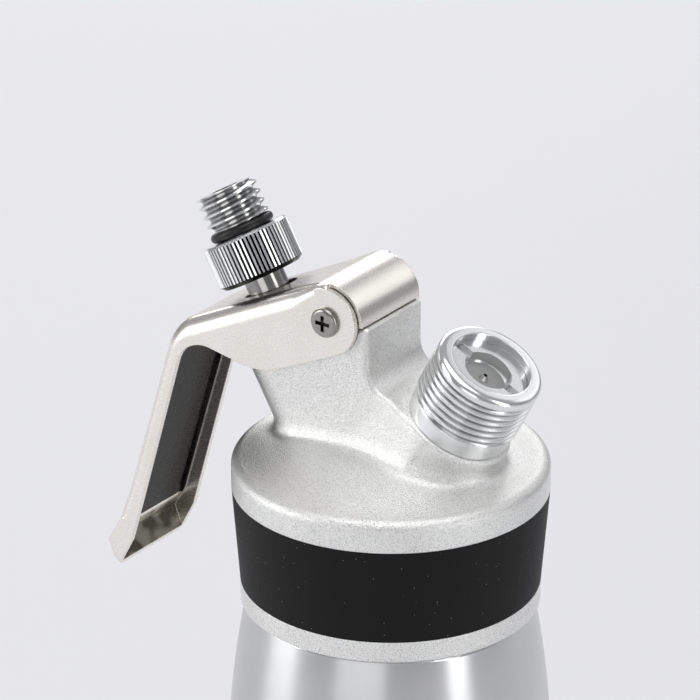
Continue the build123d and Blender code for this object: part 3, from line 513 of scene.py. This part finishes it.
# The polishing belt leaves faint strokes along the lever. They are drawn 0.3 mm wide and 6 mm long, coarser
# than the real ones.
polished_steel, tree, shader = new_finish("polished_stainless_steel")
at = add(tree, "ShaderNodeTexCoord").outputs["Object"]
plate = {"vector_type": "TEXTURE", "Location": [c * MM for c in PIVOT]}
plate["Rotation"] = (0, radians(-LEVER_LEAN), 0)
plate = add(tree, "ShaderNodeMapping", plate, {"Vector": at}).outputs["Vector"]
stretch = add(tree, "ShaderNodeVectorMath", {"operation": "MULTIPLY", 1: (0.05, 1, 1)}, {0: plate})
strokes = {"Scale": 1 / (0.3 * MM)}, {"Vector": stretch.outputs["Vector"]}
strokes = add(tree, "ShaderNodeTexNoise", *strokes).outputs["Fac"]
smears = add(tree, "ShaderNodeTexNoise", {"Scale": 1 / (12 * MM)}, {"Vector": at}).outputs["Fac"]
polish = {"data_type": "RGBA", 6: linear("#eeeae2"), 7: linear("#f8f4ed")}
polish = add(tree, "ShaderNodeMix", polish, {0: smears}).outputs[2]
parts = add(tree, "ShaderNodeSeparateXYZ", links={0: plate})
across = add(tree, "ShaderNodeMath", {"operation": "ABSOLUTE"}, {0: parts.outputs["Y"]})
halved = {"X": parts.outputs["X"], "Y": across.outputs[0], "Z": parts.outputs["Z"]}
halved = add(tree, "ShaderNodeCombineXYZ", links=halved).outputs["Vector"]


def past(tree, *limits):
    """A mask that is 1 where each value is past its limit. A limit is the value and where, in mm, the mask
    starts to fade in and where it is full."""
    mask = None
    for value, start, full in limits:
        span = {"From Min": start * MM, "From Max": full * MM}
        fade = add(tree, "ShaderNodeMapRange", span, {"Value": value}).outputs["Result"]
        if mask:
            fade = add(tree, "ShaderNodeMath", {"operation": "MULTIPLY"}, {0: mask, 1: fade}).outputs[0]
        mask = fade
    return mask


def within(*planes):
    """Mask of what lies at least 1 mm inside of the lever's sides and of planes, each given by its inward
    direction and its shift from the pivot in mm, in the frame of the plate, both halves taken as one."""
    limits = []
    for way, shift in (((0, -1, 0), SHEET_HALF - 0.25), *planes):
        depth = add(tree, "ShaderNodeVectorMath", {"operation": "DOT_PRODUCT", 1: way}, {0: halved})
        limits.append((depth.outputs["Value"], 0.9 - shift, 1.1 - shift))
    return past(tree, *limits)


# The channel is the inside of the fold and the tip the flared lip at the handle's end, both given painted
# shade.
plate_top, plate_fold = ((0, 0, -1), PLATE_TOP), ((0, -0.7071, -0.7071), 13.9)
bend, beyond_stem = ((0.397, 0, -0.918), 24.57), ((-1, 0, 0), -34)
handle_back, handle_end = ((0.729, 0, -0.6845), 38.4), ((0.6845, 0, 0.729), 82.9)
lip_back, flare_back = ((0.996, 0, -0.085), 84.7), ((0.546, 0, -0.838), 17.5)
flare_start = ((-0.6845, 0, -0.729), -80.9)
channel_shade = within(plate_top, plate_fold, bend, beyond_stem, handle_back, handle_end)
tip_shade = within(lip_back, flare_back, flare_start)
blotches = {"Scale": 1 / (5 * MM), "Detail": 1.0}
blotches = add(tree, "ShaderNodeTexNoise", blotches, {"Vector": at}).outputs["Fac"]
blotches = add(tree, "ShaderNodeMapRange", {"From Min": 0.4, "From Max": 0.6}, {"Value": blotches})
# The tip's blotchy grey-brown and the channel's near black are painted shade.
colour = {"data_type": "RGBA", 6: linear("#6e695d"), 7: linear("#b4ae9f")}
colour = add(tree, "ShaderNodeMix", colour, {0: blotches.outputs["Result"]}).outputs[2]
colour = add(tree, "ShaderNodeMix", {"data_type": "RGBA"}, {0: tip_shade, 6: polish, 7: colour}).outputs[2]
colour = {"data_type": "RGBA", 7: linear("#23211e")}, {0: channel_shade, 6: colour}
colour = add(tree, "ShaderNodeMix", *colour).outputs[2]
surface(shader, colour, strokes, dull=(0.25, 0.3), relief=0.0003, edge=0.25)
dress("lever", polished_steel)


def copy_of(node, name):
    """A copy of a CAD node as a piece of its own, with its loose triangles merged into one skin."""
    mesh = nodes[node].data.copy()
    work = bmesh.new()
    work.from_mesh(mesh)
    bmesh.ops.remove_doubles(work, verts=work.verts, dist=0.003 * MM)
    bmesh.ops.recalc_face_normals(work, faces=work.faces)
    work.to_mesh(mesh)
    work.free()
    made = bpy.data.objects.new(name, mesh)
    scene.collection.objects.link(made)
    return made


def fold_cutter(name, stations, side):
    """A closed body that takes the corner off a folded edge. Each station gives a point of the sheet's
    outer side along the lever and square to it, the turn of its normal, and the fold's radius in mm. Its
    section is the corner outside a quarter circle, a little larger than the sheet."""
    over = 2
    bow = np.radians(np.linspace(2, 88, 14))
    lean = radians(LEVER_LEAN)
    rings = []
    for along, above, turn, radius in stations:
        start, end = SHEET_HALF - radius, SHEET_HALF + over
        across = np.concatenate([start + radius * np.sin(bow), [end, end, start]])
        deep = np.concatenate([radius - radius * np.cos(bow), [radius, -over, -over]])
        forward = along - deep * sin(turn)
        upward = above - deep * cos(turn)
        x = PIVOT[0] - forward * cos(lean) - upward * sin(lean)
        z = PIVOT[2] - forward * sin(lean) + upward * cos(lean)
        rings.append(np.stack([x, side * across, z], axis=-1))
    points = np.concatenate(rings)
    index = np.arange(len(points)).reshape(len(rings), -1)
    after = np.roll(index, -1, axis=1)
    faces = np.stack([index[:-1], after[:-1], after[1:], index[1:]], axis=-1).reshape(-1, 4).tolist()
    faces += [index[0, ::-1].tolist(), index[-1].tolist()]
    if side > 0:
        faces = [face[::-1] for face in faces]
    return solid(name, points, faces)


# The fold opens from the pivot's end to its full radius, tightens round the bend and once more before the
# flare at the handle's end.
wide, slim, last = 4.3, 3.2, 2.25
run = [(u, PLATE_TOP, 0, min(2.3 + u / 4, wide)) for u in np.linspace(0, 38.5, 20)]
for a in np.linspace(0, BEND_TURN, 12):
    radius = wide + (slim - wide) * a / BEND_TURN
    run.append((BEND_ALONG + BEND_R * sin(a), BEND_UP + BEND_R * cos(a), a, radius))
for s in np.linspace(2, 50, 20):
    radius = slim + (last - slim) * max(s - 42, 0) / 8
    run.append((HANDLE_ALONG + s * cos(BEND_TURN), HANDLE_UP - s * sin(BEND_TURN), BEND_TURN, radius))
pressed = copy_of("lever", "pressed_lever")
carve(pressed, fold_cutter("near_fold", run, -1), "DIFFERENCE")
carve(pressed, fold_cutter("far_fold", run, 1), "DIFFERENCE")
work = bmesh.new()
work.from_mesh(pressed.data)
bmesh.ops.remove_doubles(work, verts=work.verts, dist=0.01 * MM)
bmesh.ops.dissolve_limit(work, angle_limit=radians(0.2), verts=work.verts, edges=work.edges)
work.to_mesh(pressed.data)
work.free()
smooth(pressed, polished_steel, 35)
even = pressed.modifiers.new("even_shading", "WEIGHTED_NORMAL")
even.keep_sharp = True
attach(pressed, "lever")
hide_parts("lever")


# ---- Pivot, stem and spring ----
# The pivot is a barrel and a screw through the head, and the stem, its collar and its spring hold the valve
# shut. All are turned or wound from stainless steel, bright, with the tool's fine rings on them.

# Each axis that pieces are turned about: a point in mm, and its turn from the vertical in degrees.
PIVOT_AXIS = PIVOT, (-90, 0, 0)
NOZZLE_AXIS = NOZZLE, (0, -NOZZLE_LEAN, 0)
INLET_AXIS = INLET, (0, INLET_LEAN, 0)


def round_axis(tree, axis):
    """Radius and height about an axis."""
    origin, lean = axis
    at = add(tree, "ShaderNodeTexCoord").outputs["Object"]
    own = {"vector_type": "TEXTURE", "Location": [c * MM for c in origin]}
    own["Rotation"] = [radians(a) for a in lean]
    own = add(tree, "ShaderNodeMapping", own, {"Vector": at}).outputs["Vector"]
    flat = add(tree, "ShaderNodeVectorMath", {"operation": "MULTIPLY", 1: (1, 1, 0)}, {0: own})
    radius = add(tree, "ShaderNodeVectorMath", {"operation": "LENGTH"}, {0: flat.outputs["Vector"]})
    return radius.outputs["Value"], add(tree, "ShaderNodeSeparateXYZ", links={0: own}).outputs["Z"]


def paint_shade(material, mask, hex_colour):
    """Lays a colour over a material's own where a mask is 1, as painted shade."""
    tree = material.node_tree
    base = tree.nodes["Principled BSDF"].inputs["Base Color"]
    colours = {"data_type": "RGBA", 7: linear(hex_colour)}
    over = add(tree, "ShaderNodeMix", colours, {0: mask, 6: base.links[0].from_socket})
    tree.links.new(over.outputs[2], base)


def turned_metal(name, dark, light, roughness, axis, edge=0.15):
    """Bright turned metal: fine rings round an axis, drawn 0.3 mm apart, coarser than the tool's real ones,
    and edges broken by a radius in mm."""
    made, tree, shader = new_finish(name)
    radius, height = round_axis(tree, axis)
    pair = add(tree, "ShaderNodeCombineXYZ", links={"X": radius, "Z": height}).outputs["Vector"]
    marks = {"Scale": 1 / (0.3 * MM), "Detail": 2.0}
    marks = add(tree, "ShaderNodeTexNoise", marks, {"Vector": pair}).outputs["Fac"]
    colour = {"data_type": "RGBA", 6: linear(dark), 7: linear(light)}
    colour = add(tree, "ShaderNodeMix", colour, {0: marks}).outputs[2]
    surface(shader, colour, marks, dull=(roughness - 0.06, roughness + 0.06), relief=0.005, edge=edge)
    return made


# The pivot's and the stem's steel are toned darker than the pin's, as painted shade.
pivot_steel = turned_metal("bright_steel_pivot", "#8f8b86", "#b4b0aa", 0.24, PIVOT_AXIS)
tree = pivot_steel.node_tree
# The screw's cross recess is darkened with painted shade.
radius, height = round_axis(tree, PIVOT_AXIS)
height = add(tree, "ShaderNodeMath", {"operation": "ABSOLUTE"}, {0: height}).outputs[0]
recess_shade = past(tree, (radius, 2.3, 2.1), (height, 13.75, 13.4))
paint_shade(pivot_steel, recess_shade, "#4a433e")
stem_steel = turned_metal("bright_steel_stem", "#8b8a88", "#a8a7a5", 0.14, NOZZLE_AXIS)
pin_steel = turned_metal("bright_steel_pin", "#c9c8c6", "#dbdad8", 0.2, INLET_AXIS)
# The pin's bore is painted near black, as painted shade.
tree = pin_steel.node_tree
bore_shade = past(tree, (round_axis(tree, INLET_AXIS)[0], 0.55, 0.45))
paint_shade(pin_steel, bore_shade, "#0a0a0a")
for part in ("pivot_barrel", "pivot_screw"):
    dress(part, pivot_steel)
for part in ("thrust_collar", "return_spring", "valve_stem", "gasket_retainer"):
    dress(part, stem_steel)
dress("piercing_pin", pin_steel)

# A copy of the return spring as a piece of its own on the head, with its lowest point along the valve's
# axis found.
coil = copy_of("return_spring", "coil_spring")
smooth(coil, stem_steel, 35)
points = np.empty(3 * len(coil.data.vertices))
coil.data.vertices.foreach_get("co", points)
points = points.reshape(-1, 3)
heights = points @ np.array(NOZZLE_WAY)
low = points[heights.argmin()]
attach(coil, "head")
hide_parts("return_spring")
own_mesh(coil)

# The bush that guides the stem is milky white acetal, turned and left uncoloured, with a slight sheen. Its
# grain is drawn 0.8 mm wide, coarser than the real one.
white_plastic, tree, shader = new_finish("natural_acetal", metallic=0.0)
at = add(tree, "ShaderNodeTexCoord").outputs["Object"]
skin = add(tree, "ShaderNodeTexNoise", {"Scale": 1 / (0.8 * MM)}, {"Vector": at}).outputs["Fac"]
colour = {"data_type": "RGBA", 6: linear("#dcdcd6"), 7: linear("#e6e6e0")}
colour = add(tree, "ShaderNodeMix", colour, {0: skin})
tree.links.new(colour.outputs[2], shader.inputs["Base Color"])
shader.inputs["Roughness"].default_value = 0.4
bumps = add(tree, "ShaderNodeBump", {"Strength": 1.0, "Distance": 0.02 * MM}, {"Height": skin})
tree.links.new(bumps.outputs["Normal"], shader.inputs["Normal"])
dress("stem_guide", white_plastic)


# ---- Nozzle adapter and charger inlet ----
# Both are turned from aluminium bar, screwed in and left bright. The knurl's grooves and its lower bevel,
# and the bottoms of the threads, are darkened with painted shade.

adapter = turned_metal("turned_aluminium_adapter", "#dcddde", "#eeeeee", 0.16, NOZZLE_AXIS, 0.08)
tree = adapter.node_tree
radius, height = round_axis(tree, NOZZLE_AXIS)
# Painted shade in the knurl's grooves and on its lower bevel.
groove_shade = {0: past(tree, (radius, 10.15, 9.9)), 1: past(tree, (height, 14.75, 14.65))}
groove_shade = add(tree, "ShaderNodeMath", {"operation": "MAXIMUM"}, groove_shade).outputs[0]
groove_shade = {0: groove_shade, 1: past(tree, (height, 23.55, 23.45))}
groove_shade = add(tree, "ShaderNodeMath", {"operation": "MULTIPLY"}, groove_shade).outputs[0]
paint_shade(adapter, groove_shade, "#1c1b1a")
# Painted shade at the bottoms of the adapter's threads.
valley_shade = past(tree, (radius, 7.1, 5.9), (height, 26, 26.5), (height, 35, 34.8))
paint_shade(adapter, valley_shade, "#9c9c9a")
inlet = turned_metal("turned_aluminium_inlet", "#e9eaea", "#f6f6f6", 0.14, INLET_AXIS, 0.6)
tree = inlet.node_tree
radius, height = round_axis(tree, INLET_AXIS)
# Painted shade at the bottoms of the inlet's threads.
valley_shade = past(tree, (radius, 12.1, 11.4), (radius, 10.4, 10.6), (height, 4.2, 4.4), (height, 15.9, 15.7))
paint_shade(inlet, valley_shade, "#a0a1a2")
plug = turned_metal("turned_aluminium_plug", "#dfe0e0", "#efefef", 0.2, INLET_AXIS, 0.2)
dress("nozzle_adapter", adapter)
dress("charger_inlet", inlet)
dress("piercing_plug", plug)
